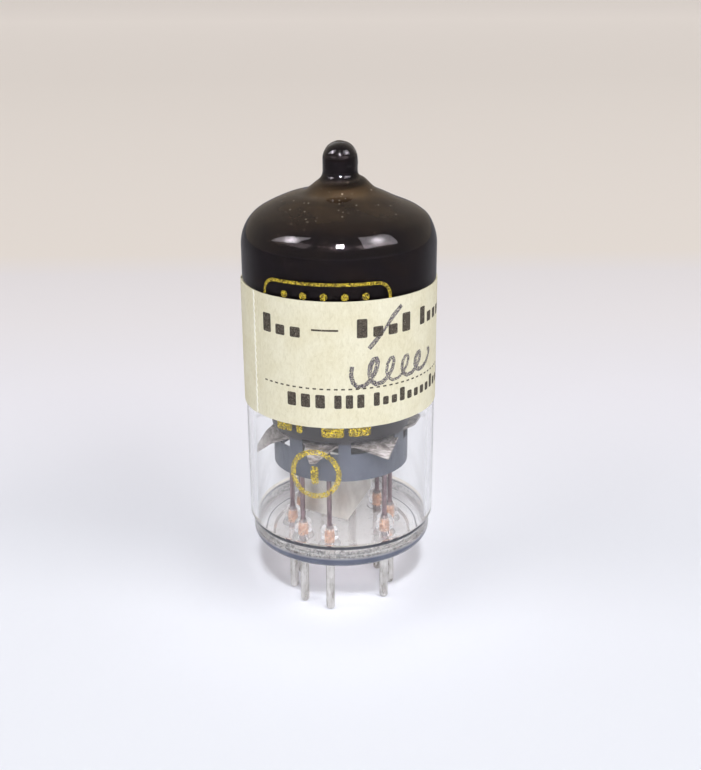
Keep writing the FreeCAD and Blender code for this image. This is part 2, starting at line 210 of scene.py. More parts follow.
def blown(azimuth, r, z):
    """Point of the blown bulb: its crown is uneven, and the tip is lumpy and stands off the axis."""
    if z < DOME_Z:
        return spot(azimuth, r, z)
    side = (1 + math.sin(math.radians(azimuth))) / 2
    rise = side * hills(r, RIGHT_HILLS) + (1 - side) * hills(r, LEFT_HILLS)
    rise *= min(1.0, max(0.0, (HILLS_END_Z - z) / HILLS_FADE))
    x, y, height = spot(azimuth, r, z + rise)
    lump = 0.0
    if z > LUMPS_FROM_Z:
        lump = LUMP_DEPTH * MM * noise.noise(Vector((x, y, height)) * LUMPS_PER_METRE)
    lean = TIP_LEAN * MM * min(1.0, max(0.0, (z - LEAN_FROM_Z) / LEAN_RISE))
    return x * (1 + lump / (TIP_R * MM)) + lean, y * (1 + lump / (TIP_R * MM)), height - abs(lump)


def bulb_outline():
    """Section of the bulb's wall: down the inside from the cavity's top, round the foot, up the outside."""
    inner = dome(WALL, CAVITY_TOP_Z)
    outer = dome(0, TOTAL_H)
    foot = FUSE_Z + JOINT_GAP
    wall = BULB_R - WALL
    inside = [(wall, z) for z in (*reversed(WALL_RINGS_Z), foot)]
    bottom = [(RIM_R - 0.02, foot), (RIM_R + 0.02, foot + 0.03)]
    step = arc((BULB_R - STEP_CORNER_R, FUSE_Z + STEP_H), STEP_CORNER_R, -50, 0, 5)
    outside = [(BULB_R, z) for z in WALL_RINGS_Z]
    return list(reversed(inner)) + inside + bottom + step + outside + outer


def film_outline():
    """Section of the thin film that lines the dome and the top of the wall."""
    outside = list(reversed(dome(FILM_OUT, CAVITY_TOP_Z + FILM_TOP_OUT)))
    inside = dome(FILM_IN, CAVITY_TOP_Z - FILM_TOP_IN)
    edge = [(BULB_R - FILM_OUT, FILM_BOTTOM_Z), (BULB_R - FILM_IN, FILM_BOTTOM_Z)]
    return outside + edge + inside


def build_glass():
    bulb = piece("bulb_shell", *lathe(bulb_outline(), shape=blown), "bulb_glass", sharp=60)
    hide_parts("glass_bulb")
    film = piece("getter_mirror", *lathe(film_outline(), shape=blown), "getter_film")
    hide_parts("getter_film")


def build_pins():
    """Pins with rounded tips, and the copper seal wires above them."""
    flat = PIN_R - PIN_TIP_R
    pin = [(0, 0), (flat, 0)] + arc((flat, PIN_TIP_R), PIN_TIP_R, -80, 0, 9)
    pin += [(PIN_R, z) for z in PIN_RINGS_Z]
    pin += [(PIN_R, PIN_TOP_Z - PIN_EDGE), (PIN_R - PIN_EDGE, PIN_TOP_Z), (0, PIN_TOP_Z)]
    foot, head = SEAL_Z
    seal = [(0, foot), (SEAL_R, foot), (SEAL_R, head - SEAL_EDGE), (SEAL_R - SEAL_EDGE, head), (0, head)]
    for number in PINS:
        a = math.radians(GAP_AZIMUTH + PIN_PITCH * number)
        centre = (PIN_CIRCLE_R * math.sin(a), -PIN_CIRCLE_R * math.cos(a))
        made = piece(f"contact_pin_{number}", *lathe(pin, 48, centre), "pin_metal")
        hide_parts(f"pin_{number}")
        made = piece(f"copper_seal_{number}", *lathe(seal, 32, centre), "copper_seal")
        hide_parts(f"seal_wire_{number}")


# ---------------------------------------------------------------- label and prints

def label_radius(azimuth, z):
    """Inside of the paper sheet, which lies close on the glass and climbs onto its own start."""
    climb = min(1.0, max(0.0, (azimuth - LAP_FROM) / (LAP_TO - LAP_FROM)))
    ripple = noise.noise(Vector((azimuth * 0.05, z * 0.12, 3.1)))
    return LABEL_R + LAP_RISE * climb * climb * (3 - 2 * climb) + PAPER_RIPPLE * (1 + ripple)


def build_label():
    """One strip of paper wound round the bulb, with a perforated free end."""
    columns, rows = SHEET_COLUMNS, SHEET_ROWS
    foot, head = LABEL_Z
    verts, uvs = [], []
    for side in (0, 1):
        for i in range(columns + 1):
            azimuth = SHEET_FROM + (SHEET_TO - SHEET_FROM) * i / columns
            near_end = max(0.0, 1 - (SHEET_TO - azimuth) / BITTEN)
            for j in range(rows + 1):
                share = j / rows
                z = foot + (head - foot) * share
                bite = abs((z / SERRATION_PITCH) % 1 - 0.5) * 2 * SERRATION
                at = azimuth - math.degrees(bite / BULB_R) * near_end
                waver = PAPER_WAVER * noise.noise(Vector((azimuth * 0.11, share * 9, 5.0)))
                edge = waver * abs(2 * share - 1) ** 6
                height = z - abs(edge) * (2 * share - 1)
                verts.append(spot(at, label_radius(azimuth, z) + PAPER_T * side, height))
                uvs.append((math.radians(azimuth) * BULB_R, z))
    span = rows + 1
    back = (columns + 1) * span
    faces = []
    for i in range(columns):
        for j in range(rows):
            a = i * span + j
            faces.append((a + 1, a + span + 1, a + span, a))
            faces.append((back + a, back + a + span, back + a + span + 1, back + a + 1))
    for i in range(columns):
        a, b = i * span, (i + 1) * span
        faces.append((a, b, back + b, back + a))
        faces.append((back + a + rows, back + b + rows, b + rows, a + rows))
    for j in range(rows):
        faces.append((j + 1, j, back + j, back + j + 1))
        a = columns * span + j
        faces.append((a, a + 1, back + a + 1, back + a))
    made = piece("label_strip", verts, faces, "label_paper", sharp=50)
    layer = made.data.uv_layers.new(name="along")
    for loop in made.data.loops:
        layer.data[loop.index].uv = uvs[loop.vertex_index]
    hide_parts("paper_label")


def on_label(x, z):
    """Point on the paper from a distance round the bulb and a height."""
    azimuth = math.degrees(x / BULB_R)
    return spot(azimuth, label_radius(azimuth, z) + PAPER_T + INK_LIFT, z)


def on_glass(x, z):
    """The same on the outside of the bulb."""
    return spot(math.degrees(x / BULB_R), BULB_R + GLASS_PRINT_LIFT, z)


def spaced(points, step=0.25):
    """The same line with points no further apart than a step."""
    line = [points[0]]
    for (x0, y0), (x1, y1) in zip(points, points[1:]):
        count = max(1, math.ceil(math.hypot(x1 - x0, y1 - y0) / step))
        line += [(x0 + (x1 - x0) * n / count, y0 + (y1 - y0) * n / count) for n in range(1, count + 1)]
    return line


class Print:
    """Flat marks laid on a curved surface and gathered into one mesh."""

    def __init__(self, lay):
        self.lay = lay
        self.verts = []
        self.faces = []

    def stroke(self, points, width, closed=False):
        """A line of even width, or of the width that a function gives for a share of its length."""
        line = spaced(points + points[:1] if closed else points)
        start = len(self.verts)
        count = len(line) - 1 if closed else len(line)
        for n in range(count):
            before = line[(n - 1) % count] if closed else line[max(0, n - 1)]
            after = line[(n + 1) % count] if closed else line[min(count - 1, n + 1)]
            dx, dy = after[0] - before[0], after[1] - before[1]
            size = math.hypot(dx, dy) or 1
            half = (width(n / count) if callable(width) else width) / 2
            x, y = line[n]
            for side in (1, -1):
                self.verts.append(self.lay(x - dy / size * half * side, y + dx / size * half * side))
        for n in range(count if closed else count - 1):
            a, b = start + 2 * n, start + 2 * ((n + 1) % count)
            self.faces.append((a, a + 1, b + 1, b))

    def block(self, x0, x1, y0, y1):
        """A filled rectangle."""
        self.stroke([(x0, (y0 + y1) / 2), (x1, (y0 + y1) / 2)], y1 - y0)

    def tablet(self, x, y, half_width, half_height, corner):
        """A filled rectangle with rounded corners."""
        quarter = [(corner * (1 - math.cos(math.radians(t))), corner * math.sin(math.radians(t)))
                   for t in (0, 22, 45, 68, 90)]
        rows = [(-half_height + corner - rise, half_width - inset) for inset, rise in reversed(quarter)]
        rows += [(half_height - corner + rise, half_width - inset) for inset, rise in quarter]
        start = len(self.verts)
        for height, half in rows:
            for share in (-1, -0.5, 0, 0.5, 1):
                self.verts.append(self.lay(x + half * share, y + height))
        for i in range(len(rows) - 1):
            for j in range(4):
                a = start + 5 * i + j
                self.faces.append((a, a + 1, a + 6, a + 5))

    def ring(self, x, y, radius, width):
        turns = [math.radians(360 * n / 72) for n in range(72)]
        circle = [(x + radius * math.cos(a), y + radius * math.sin(a)) for a in turns]
        self.stroke(circle, width, closed=True)

    def finish(self, name, slot):
        piece(name, self.verts, self.faces, slot)


def along(azimuth):
    """Distance round the bulb to an azimuth."""
    return math.radians(azimuth) * BULB_R


# Words of the label: from and to (azimuths), foot, height of a low block and of a tall one, tall blocks
WORDS = (
    (-48.3, -22.5, 35.75, 1.15, 2.10, 3, (0,)),
    (9.3, 43.2, 35.85, 1.15, 2.10, 4, (0, 3)),
    (51.9, 118.0, 36.0, 1.15, 2.00, 9, (0, 5, 6)),
    (-31.3, -8.7, 27.9, 1.55, 1.55, 3, ()),
    (-3.5, 13.5, 27.9, 1.55, 1.55, 3, ()),
    (19.0, 96.0, 27.95, 0.95, 1.55, 14, (0, 3, 8, 11)),
)
BLOCK_GAP = 0.36               # share of a block's pitch that is left blank
BLOCK_CORNER = 0.16
DASH = (-15.9, -0.9, 36.64, 36.85)              # from and to (azimuths), foot and top
DOTS = (-48.0, 80.0, 30.03, 30.20)
DOT_W = 0.40
DOT_PITCH = 0.775

PENCIL_STROKE = ((36.6, 38.9), (31, 37.9), (24, 36.2), (16.2, 34.6))     # azimuth and height
LOOP_START = (9.5, 31.9)
LOOP_STEPS = 50                # ten to a loop
LOOP_PITCH = 0.20
LOOP_HALF = (0.85, 1.65)
LOOP_SHRINK = 0.015            # how much lower each step is than the last
LOOP_SLANT = 0.35

# the frame's corner centres, then its corner radius and line width
FRAME_CORNERS = ((4.1, 40.2), (-7.5, 40.2), (-7.5, 36.1), (4.1, 36.1))
FRAME_CORNER_R = 1.5
FRAME_LINE = 0.36
DOT_ROW = (-6.2, 40.35)
DOT_ROW_PITCH = 2.25
# plain blocks under the label: azimuth, half width and foot
LOW_BLOCKS = ((-34.5, 1.0, 24.70), (-24.4, 0.36, 24.65), (-4.6, 1.25, 24.45), (11.0, 1.25, 24.55))
LOW_BLOCK_HALF = 1.5
LOW_BLOCK_CORNER = 0.3
RING_AT = (-15.2, 19.95)
RING_R = 2.65
RING_LINE = 0.62


def build_ink():
    """Plain blocks stand for the words, with the dash and the dotted line."""
    ink = Print(on_label)
    for start, end, foot, low, tall, count, tall_ones in WORDS:
        pitch = (along(end) - along(start)) / (count - BLOCK_GAP)
        for n in range(count):
            half = pitch * (1 - BLOCK_GAP) / 2
            height = tall if n in tall_ones else low
            middle = along(start) + pitch * n + half
            ink.tablet(middle, foot + height / 2, half, height / 2, BLOCK_CORNER)
    start, end, foot, top = DASH
    ink.block(along(start), along(end), foot, top)
    start, end, foot, top = DOTS
    x = along(start)
    while x < along(end):
        ink.block(x, x + DOT_W, foot, top)
        x += DOT_PITCH
    ink.finish("label_print", "black_ink")


def build_pencil():
    """One slanting stroke and a row of loose loops."""
    pencil = Print(on_label)

    def press(share):
        return 0.46 + 0.14 * math.sin(share * 9) * math.sin(share * 3.1)

    pencil.stroke([(along(azimuth), z) for azimuth, z in PENCIL_STROKE], press)
    azimuth, z = LOOP_START
    half_width, half_height = LOOP_HALF
    loops = []
    for n in range(LOOP_STEPS):
        a = math.radians(150 + 36 * n)
        lean = LOOP_SLANT * math.sin(a)
        x = along(azimuth) + LOOP_PITCH * n + half_width * math.cos(a) + lean
        loops.append((x, z + (half_height - LOOP_SHRINK * n) * math.sin(a)))
    pencil.stroke(loops, press)
    pencil.finish("pencil_strokes", "pencil")


def build_yellow():
    """A rounded frame and a row of dots, mostly under the label, blocks below it, and a ring with a bar."""
    yellow = Print(on_glass)
    frame_line = []
    for quarter, corner in enumerate(FRAME_CORNERS):
        frame_line += arc(corner, FRAME_CORNER_R, 90 * quarter, 90 * quarter + 90, 10)
    yellow.stroke(frame_line, FRAME_LINE, closed=True)
    x, y = DOT_ROW
    for n in range(5):
        yellow.tablet(x + DOT_ROW_PITCH * n, y, 0.40, 0.40, 0.39)
    for azimuth, half, foot in LOW_BLOCKS:
        yellow.tablet(along(azimuth), foot + LOW_BLOCK_HALF, half, LOW_BLOCK_HALF, LOW_BLOCK_CORNER)
    azimuth, y = RING_AT
    yellow.ring(along(azimuth), y, RING_R, RING_LINE)
    yellow.tablet(along(-15.6), 19.8, 0.45, 1.1, 0.3)
    yellow.finish("yellow_print", "yellow_print")


# ---------------------------------------------------------------- materials

def add(tree, kind, inputs=None, **settings):
    """One shader node, its inputs set to values or joined to sockets."""
    node = tree.nodes.new("ShaderNode" + kind)
    for key, value in settings.items():
        setattr(node, key, value)
    for key, value in (inputs or {}).items():
        if isinstance(value, bpy.types.NodeSocket):
            tree.links.new(value, node.inputs[key])
        else:
            node.inputs[key].default_value = value
    return node


def new_look(name):
    look = bpy.data.materials.new(name)
    look.use_nodes = True
    look.node_tree.nodes.clear()
    return look, look.node_tree


def finish_look(tree, surface):
    output = add(tree, "OutputMaterial")
    tree.links.new(surface, output.inputs["Surface"])


def place(tree, stretch=(1, 1, 1)):
    """Position on the object in millimetres, stretched."""
    coordinates = add(tree, "TexCoord")
    scale = [s / MM for s in stretch]
    return add(tree, "Mapping", {"Vector": coordinates.outputs["Object"], "Scale": scale}).outputs["Vector"]


def grain(tree, size, detail=4.0, roughness=0.6, stretch=(1, 1, 1), distortion=0.0):
    """Noise from 0 to 1 whose features are about a size in millimetres."""
    inputs = {"Vector": place(tree, stretch), "Scale": 1 / size, "Detail": detail, "Roughness": roughness,
              "Distortion": distortion}
    return add(tree, "TexNoise", inputs).outputs["Fac"]


def ramp(tree, value, stops):
    """Colour ramp from (place, colour) stops; a single number stands for a grey."""
    node = add(tree, "ValToRGB", {"Fac": value})
    elements = node.color_ramp.elements
    while len(elements) < len(stops):
        elements.new(0.5)
    for element, (position, colour) in zip(elements, stops):
        element.position = position
        element.color = (*colour, 1) if isinstance(colour, tuple) else (colour, colour, colour, 1)
    return node.outputs["Color"]


def blend(tree, share, first, second):
    """Mix of two colours, either of which may be a socket."""
    node = tree.nodes.new("ShaderNodeMix")
    node.data_type = "RGBA"
    for index, value in ((0, share), (6, first), (7, second)):
        if isinstance(value, bpy.types.NodeSocket):
            tree.links.new(value, node.inputs[index])
        else:
            node.inputs[index].default_value = value if index == 0 else (*value, 1)
    return node.outputs[2]


def bump(tree, height, depth, strength=1.0):
    """Bump of a depth in millimetres."""
    inputs = {"Height": height, "Distance": depth * MM, "Strength": strength}
    return add(tree, "Bump", inputs).outputs["Normal"]


def combine(tree, operation, first, second, **settings):
    """Two values joined by one operation."""
    return add(tree, "Math", {0: first, 1: second}, operation=operation, **settings).outputs[0]


def spread(tree, value, low, high, start=0.0, end=1.0):
    """Takes a value from one range to another, and holds it there."""
    inputs = {"Value": value, "From Min": low, "From Max": high, "To Min": start, "To Max": end}
    return add(tree, "MapRange", inputs).outputs["Result"]


def speckle(tree, scale):
    """Distance to the nearest of many scattered points."""
    inputs = {"Vector": place(tree), "Scale": scale, "Randomness": 1.0}
    return add(tree, "TexVoronoi", inputs).outputs["Distance"]


# dark colour, light colour, size of the mottling, its stretch, roughness from and to, metallic, bump depth
METALS = {
    "pin_metal": ((0.36, 0.34, 0.31), (0.80, 0.78, 0.74), 0.60, (1, 1, 0.30), 0.12, 0.34, 1.0, 0.004),
    "copper_seal": ((0.24, 0.075, 0.03), (0.86, 0.46, 0.24), 0.32, (1, 1, 0.6), 0.18, 0.42, 0.8, 0.012),
    "lead_wire": ((0.075, 0.045, 0.055), (0.30, 0.22, 0.23), 0.50, (1, 1, 0.3), 0.28, 0.50, 0.8, 0.008),
    "screen_sheet": ((0.040, 0.047, 0.063), (0.076, 0.084, 0.106), 0.45, (1, 1, 0.4), 0.36, 0.56, 0.3, 0.006),
    "plate_sheet": ((0.50, 0.48, 0.44), (0.70, 0.68, 0.63), 1.60, (1, 1, 0.5), 0.26, 0.38, 0.9, 0.003),
    "anode_sheet": ((0.020, 0.020, 0.023), (0.060, 0.060, 0.066), 0.30, (1, 1, 1), 0.60, 0.80, 0.2, 0.006),
    "nickel": ((0.36, 0.35, 0.33), (0.66, 0.65, 0.62), 0.30, (1, 1, 0.3), 0.28, 0.45, 1.0, 0.005),
    "cathode_oxide": ((0.78, 0.77, 0.74), (0.94, 0.94, 0.92), 0.12, (1, 1, 1), 0.85, 0.95, 0.0, 0.012),
    "tungsten": ((0.16, 0.16, 0.17), (0.40, 0.40, 0.41), 0.15, (1, 1, 0.3), 0.30, 0.50, 1.0, 0.003),
    "alumina": ((0.82, 0.81, 0.78), (0.97, 0.96, 0.94), 0.10, (1, 1, 1), 0.85, 0.95, 0.0, 0.010),
    "grid_rod": ((0.40, 0.20, 0.12), (0.78, 0.50, 0.34), 0.30, (1, 1, 0.2), 0.28, 0.45, 1.0, 0.004),
    "grid_wire": ((0.34, 0.33, 0.30), (0.62, 0.60, 0.56), 0.20, (1, 1, 1), 0.28, 0.40, 1.0, 0.001),
    "getter_channel": ((0.18, 0.17, 0.16), (0.48, 0.46, 0.44), 0.30, (1, 1, 1), 0.35, 0.60, 1.0, 0.010),
}


# metals that keep their colour only between two heights, and their colour elsewhere: the seal wire's is the
# wire's own colour outside its copper part, while the screen's and the plate's are painted shade, the screen
# dark under the label and the plate dark inside the can
BANDS_AND_PAINTED_SHADE = {
    "copper_seal": (9.15, 10.75, (0.16, 0.11, 0.12)),
    "screen_sheet": (10.0, 22.4, (0.026, 0.021, 0.023)),
    "plate_sheet": (9.0, 18.4, (0.050, 0.046, 0.042)),
}


def within(tree, axis, low, high, edge=0.12):
    """1 between two places along an axis in millimetres, 0 beyond them, with soft edges."""
    at = add(tree, "SeparateXYZ", {"Vector": place(tree)}).outputs[axis]
    return between(tree, at, low, high, edge)


def between(tree, at, low, high, edge):
    """1 where a value lies between two others, 0 beyond them, with soft edges."""
    up = spread(tree, at, low - edge, low + edge)
    down = spread(tree, at, high + edge, high - edge)
    return combine(tree, "MULTIPLY", up, down)


def radius_of(tree):
    """Distance from the tube's axis in millimetres."""
    flat = place(tree, (1, 1, 0))
    return add(tree, "VectorMath", {0: flat}, operation="LENGTH").outputs["Value"]


def outside(tree, behind):
    """1 on a surface met from outside, and a lower value where it is met from within the glass."""
    back = add(tree, "NewGeometry").outputs["Backfacing"]
    return spread(tree, back, 0.0, 1.0, 1.0, behind)


def metal_look(name, dark, light, size, stretch, smooth, rough, metallic, depth):
    """Mottled and finely scratched metal, or a sheet with such a skin; the screen and the plate have painted
    shade beyond a band of heights.
    """
    look, tree = new_look(name)
    mottle = grain(tree, size, 5.0, 0.65, stretch)
    scratch = grain(tree, size / 6, 2.0, 0.5, (stretch[0], stretch[1], stretch[2] * 0.3))
    colour = ramp(tree, mottle, ((0.30, dark), (0.68, light)))
    # beyond the band: the wire's own colour on a seal wire, painted shade on the screen and the plate
    if name in BANDS_AND_PAINTED_SHADE:
        from_z, to_z, other = BANDS_AND_PAINTED_SHADE[name]
        colour = blend(tree, within(tree, "Z", from_z, to_z), other, colour)
    surface = add(tree, "BsdfPrincipled", {
        "Base Color": colour,
        "Roughness": ramp(tree, mottle, ((0.25, rough), (0.75, smooth))),
        "Metallic": metallic,
        "Normal": bump(tree, scratch, depth),
    })
    finish_look(tree, surface.outputs["BSDF"])
    return look


def lit_through(tree, surface, tint):
    """Lets lamps shine through a glass surface."""
    colour = tint if isinstance(tint, bpy.types.NodeSocket) else (*tint, 1)
    clear = add(tree, "BsdfTransparent", {"Color": colour})
    path = add(tree, "LightPath")
    mix = add(tree, "MixShader", {0: path.outputs["Is Shadow Ray"], 1: surface, 2: clear.outputs["BSDF"]})
    return mix.outputs[0]


def bulb_glass_look():
    """Thin blown glass with faint draw lines, smears and dust, and a painted dark reflection where it is
    fused to the base.
    """
    look, tree = new_look("bulb_glass")
    sway = grain(tree, 9.0, 1.0, 0.4, (1, 1, 0.35))
    smear = grain(tree, 2.2, 5.0, 0.7)
    # painted dark reflection along the fused step, fainter on faces met from within the glass
    joint = within(tree, "Z", FUSE_Z - 1, FUSE_Z + 0.16, 0.06)
    painted_fuse_line = combine(tree, "MULTIPLY", joint, outside(tree, 0.4))
    surface = add(tree, "BsdfPrincipled", {
        "Base Color": blend(tree, painted_fuse_line, (0.985, 0.990, 0.992), (0.16, 0.17, 0.21)),
        "Roughness": ramp(tree, smear, ((0.55, 0.0), (0.85, 0.035))),
        "IOR": 1.49,
        "Transmission Weight": ramp(tree, painted_fuse_line, ((0.0, 1.0), (1.0, 0.35))),
        "Normal": bump(tree, sway, 0.06, 0.6),
    })
    finish_look(tree, lit_through(tree, surface.outputs["BSDF"], (0.96, 0.965, 0.97)))
    return look


BAND_Z = (9.30, FUSE_Z - 0.3)  # heights of the flecked band on the base's side, with painted dark reflections below and above it
CREASE_R = (8.98, 9.14)       # radii of the dark line in the floor's corner, which is painted shade


def base_glass_look():
    """Pressed glass: seedy and hazy on its disc, with painted dark reflections along its foot and fused edge
    and painted shade in the floor's corner.
    """
    look, tree = new_look("base_glass")
    pits = ramp(tree, speckle(tree, 1.6), ((0.08, 1.0), (0.20, 0.0)))
    press = grain(tree, 1.1, 4.0, 0.6)
    radius = radius_of(tree)

    def band(heights, radii, height_edge=0.12, radius_edge=0.1):
        """1 between two heights and two radii, 0 beyond them."""
        high = within(tree, "Z", *heights, height_edge)
        return combine(tree, "MULTIPLY", high, between(tree, radius, *radii, radius_edge))

    # painted dark reflections along the foot and the fused edge, painted shade in the floor's corner; fainter
    # on faces met from within
    foot = band((6.0, BAND_Z[0]), (9.9, 12.0), 0.25)
    painted_fuse_line = band((BAND_Z[1], 12.0), (10.4, 12.0), 0.06)
    crease_shade = band((8.9, 9.3), CREASE_R, radius_edge=0.05)
    lines = combine(tree, "MAXIMUM", painted_fuse_line, crease_shade)
    painted_dark_lines = combine(tree, "MAXIMUM", foot, lines)
    dark = combine(tree, "MULTIPLY", painted_dark_lines, outside(tree, 0.25))
    wall = band(BAND_Z, (10.3, 12.0))
    flecks = ramp(tree, grain(tree, 0.50, 5.0, 0.75), (
        (0.42, (0.16, 0.16, 0.16)),
        (0.52, (0.68, 0.675, 0.64)),
    ))
    hazy = blend(tree, wall, (0.86, 0.85, 0.84), flecks)
    shade = blend(tree, lines, (0.095, 0.112, 0.168), (0.040, 0.044, 0.055))
    clear = ramp(tree, wall, ((0.0, 0.88), (1.0, 0.72)))
    surface = add(tree, "BsdfPrincipled", {
        "Base Color": blend(tree, dark, hazy, shade),
        "Roughness": ramp(tree, wall, ((0.0, 0.02), (1.0, 0.10))),
        "IOR": 1.50,
        "Transmission Weight": blend(tree, dark, clear, (0.24, 0.24, 0.24)),
        "Normal": bump(tree, blend(tree, 0.5, press, pits), 0.07, 0.7),
    })
    ripple = grain(tree, 2.4, 2.0, 0.5, (1, 1, 1), 1.2)
    disc = ramp(tree, ripple, ((0.52, (0.36, 0.31, 0.31)), (0.72, (0.92, 0.91, 0.93))))
    tint = blend(tree, between(tree, radius, 8.2, 12.0, 0.3), disc, (0.20, 0.18, 0.19))
    finish_look(tree, lit_through(tree, surface.outputs["BSDF"], tint))
    return look


def film_look():
    """Near-black getter mirror, brown and satin over the crown, with pinholes painted as pale specks of
    light.
    """
    look, tree = new_look("getter_film")
    height = add(tree, "SeparateXYZ", {"Vector": place(tree)}).outputs["Z"]
    level = spread(tree, height, 45.9, 49.5)
    uneven = spread(tree, grain(tree, 3.0, 4.0, 0.6), 0.3, 0.7, -0.22, 0.22)
    crown = combine(tree, "ADD", level, uneven, use_clamp=True)
    share = combine(tree, "MULTIPLY", crown, within(tree, "Z", 40.0, 50.25, 0.4))
    base = ramp(tree, share, (
        (0.0, (0.008, 0.005, 0.006)),
        (0.5, (0.018, 0.010, 0.006)),
        (1.0, (0.056, 0.033, 0.013)),
    ))
    # pale specks at pinholes over the crown: painted glints where light shows through the film
    pinhole_glints = ramp(tree, speckle(tree, 1.3), ((0.07, 0.8), (0.15, 0.0)))
    shown_glints = combine(tree, "MULTIPLY", pinhole_glints, share)
    surface = add(tree, "BsdfPrincipled", {
        "Base Color": blend(tree, shown_glints, base, (0.62, 0.54, 0.44)),
        "Roughness": ramp(tree, share, ((0.0, 0.10), (1.0, 0.44))),
        "Metallic": 0.80,
        "Normal": bump(tree, grain(tree, 0.4, 3.0), 0.004),
    })
    finish_look(tree, surface.outputs["BSDF"])
    return look


def mica_look():
    """Silvery brown mica, flaky and pale where the sheet has split."""
    look, tree = new_look("mica")
    flakes = grain(tree, 0.9, 5.0, 0.7, (1, 1, 4), 0.6)
    surface = add(tree, "BsdfPrincipled", {
        "Base Color": ramp(tree, flakes, (
            (0.36, (0.050, 0.038, 0.034)),
            (0.50, (0.150, 0.132, 0.122)),
            (0.64, (0.34, 0.32, 0.31)),
        )),
        "Roughness": ramp(tree, flakes, ((0.3, 0.42), (0.7, 0.24))),
        "IOR": 1.58,
        "Specular IOR Level": 0.2,
        "Transmission Weight": 0.12,
        "Normal": bump(tree, flakes, 0.03),
    })
    finish_look(tree, lit_through(tree, surface.outputs["BSDF"], (0.45, 0.42, 0.38)))
    return look


TORN_WIDTH = (0.20, 0.10)      # how far from the sheet's end the paper turns white: its torn core, and a painted highlight where the edge catches light


def paper_look():
    """Aged cream paper with fibres, and white along its torn end, partly the torn core and partly a painted
    highlight.
    """
    look, tree = new_look("label_paper")
    fibre = grain(tree, 0.28, 6.0, 0.75, (1, 1, 0.45), 0.8)
    blotch = grain(tree, 3.5, 3.0, 0.55)
    cream = ramp(tree, fibre, (
        (0.25, (0.50, 0.46, 0.31)),
        (0.50, (0.69, 0.65, 0.49)),
        (0.75, (0.79, 0.77, 0.62)),
    ))
    aged = ramp(tree, blotch, ((0.35, (0.64, 0.60, 0.41)), (0.65, (0.74, 0.72, 0.56))))
    uv = add(tree, "UVMap", uv_map="along")
    across = add(tree, "SeparateXYZ", {"Vector": uv.outputs["UV"]}).outputs["X"]
    # white along the torn end: the paper's own core, and a painted highlight where the edge catches light
    start, full = (along(SHEET_TO) - width for width in TORN_WIDTH)
    torn_white_and_highlight = spread(tree, across, start, full)
    surface = add(tree, "BsdfPrincipled", {
        "Base Color": blend(tree, torn_white_and_highlight, blend(tree, 0.45, cream, aged), (0.84, 0.83, 0.74)),
        "Roughness": 0.88,
        "Specular IOR Level": 0.25,
        "Normal": bump(tree, fibre, 0.03),
    })
    finish_look(tree, surface.outputs["BSDF"])
    return look


def print_look(name, dark, light, size, cover, roughness):
    """Ink broken up into fine specks."""
    look, tree = new_look(name)
    speck = grain(tree, size, 3.0, 0.7)
    surface = add(tree, "BsdfPrincipled", {
        "Base Color": ramp(tree, grain(tree, size * 1.7, 3.0), ((0.43, dark), (0.57, light))),
        "Roughness": roughness,
        "Alpha": ramp(tree, speck, ((cover - 0.03, 1.0), (cover + 0.03, 0.0))),
    })
    finish_look(tree, surface.outputs["BSDF"])
    return look


# the ground's colour by its distance behind the tube, as shares of the way to the far end of each ramp
NEAR_GROUND = (-30 * MM, 185 * MM)
NEAR_COLOURS = (
    (0.00, (0.760, 0.790, 0.850)),
    (0.20, (0.760, 0.785, 0.845)),
    (0.44, (0.745, 0.745, 0.795)),
    (0.66, (0.730, 0.712, 0.730)),
    (0.84, (0.705, 0.682, 0.692)),
    (0.94, (0.720, 0.674, 0.625)),
)
FAR_GROUND = (180 * MM, 1330 * MM)
FAR_COLOURS = ((0.0, (0.720, 0.674, 0.625)), (0.4, (0.775, 0.725, 0.670)), (1.0, (0.940, 0.880, 0.815)))


def floor_look():
    """Pale paper ground, bluish white near the tube and warm grey behind it."""
    look, tree = new_look("floor")
    coordinates = add(tree, "TexCoord").outputs["Object"]
    back = add(tree, "SeparateXYZ", {"Vector": coordinates}).outputs["Y"]
    colours = []
    for (start, end), stops in ((NEAR_GROUND, NEAR_COLOURS), (FAR_GROUND, FAR_COLOURS)):
        colours.append(ramp(tree, spread(tree, back, start, end), stops))
    beyond = combine(tree, "GREATER_THAN", back, FAR_GROUND[0])
    surface = add(tree, "BsdfPrincipled", {
        "Base Color": blend(tree, beyond, *colours),
        "Roughness": 0.75,
        "Specular IOR Level": 0.2,
    })
    finish_look(tree, surface.outputs["BSDF"])
    return look


# dark colour, light colour, size of the specks, noise level up to which the ink covers, roughness
PRINTS = {
    "yellow_print": ((0.20, 0.14, 0.02), (0.80, 0.61, 0.03), 0.11, 0.52, 0.45),
    "black_ink": ((0.030, 0.024, 0.016), (0.085, 0.070, 0.050), 0.10, 0.65, 0.80),
    "pencil": ((0.05, 0.042, 0.05), (0.20, 0.18, 0.195), 0.12, 0.56, 0.55),
}


def make_looks():
    looks = {name: metal_look(name, *row) for name, row in METALS.items()}
    looks["bulb_glass"] = bulb_glass_look()
    looks["base_glass"] = base_glass_look()
    looks["getter_film"] = film_look()
    looks["mica"] = mica_look()
    looks["label_paper"] = paper_look()
    for name, row in PRINTS.items():
        looks[name] = print_look(name, *row)
    return looks


LOOKS = make_looks()


def dress_cad():
    """Gives each CAD node the look of its material slot."""
    for part in frame["record"]["subparts"]:
        mesh = frame["nodes"][part["node"]].data
        for index in range(len(mesh.materials)):
            mesh.materials[index] = LOOKS[part["material_slot"]]


# ---------------------------------------------------------------- studio

SUN_STRENGTH = 2.2
SUN_WIDTH = 6.0               # degrees
SUN_AZIMUTH = 1.4             # degrees
SUN_HEIGHT = 47.0             # degrees
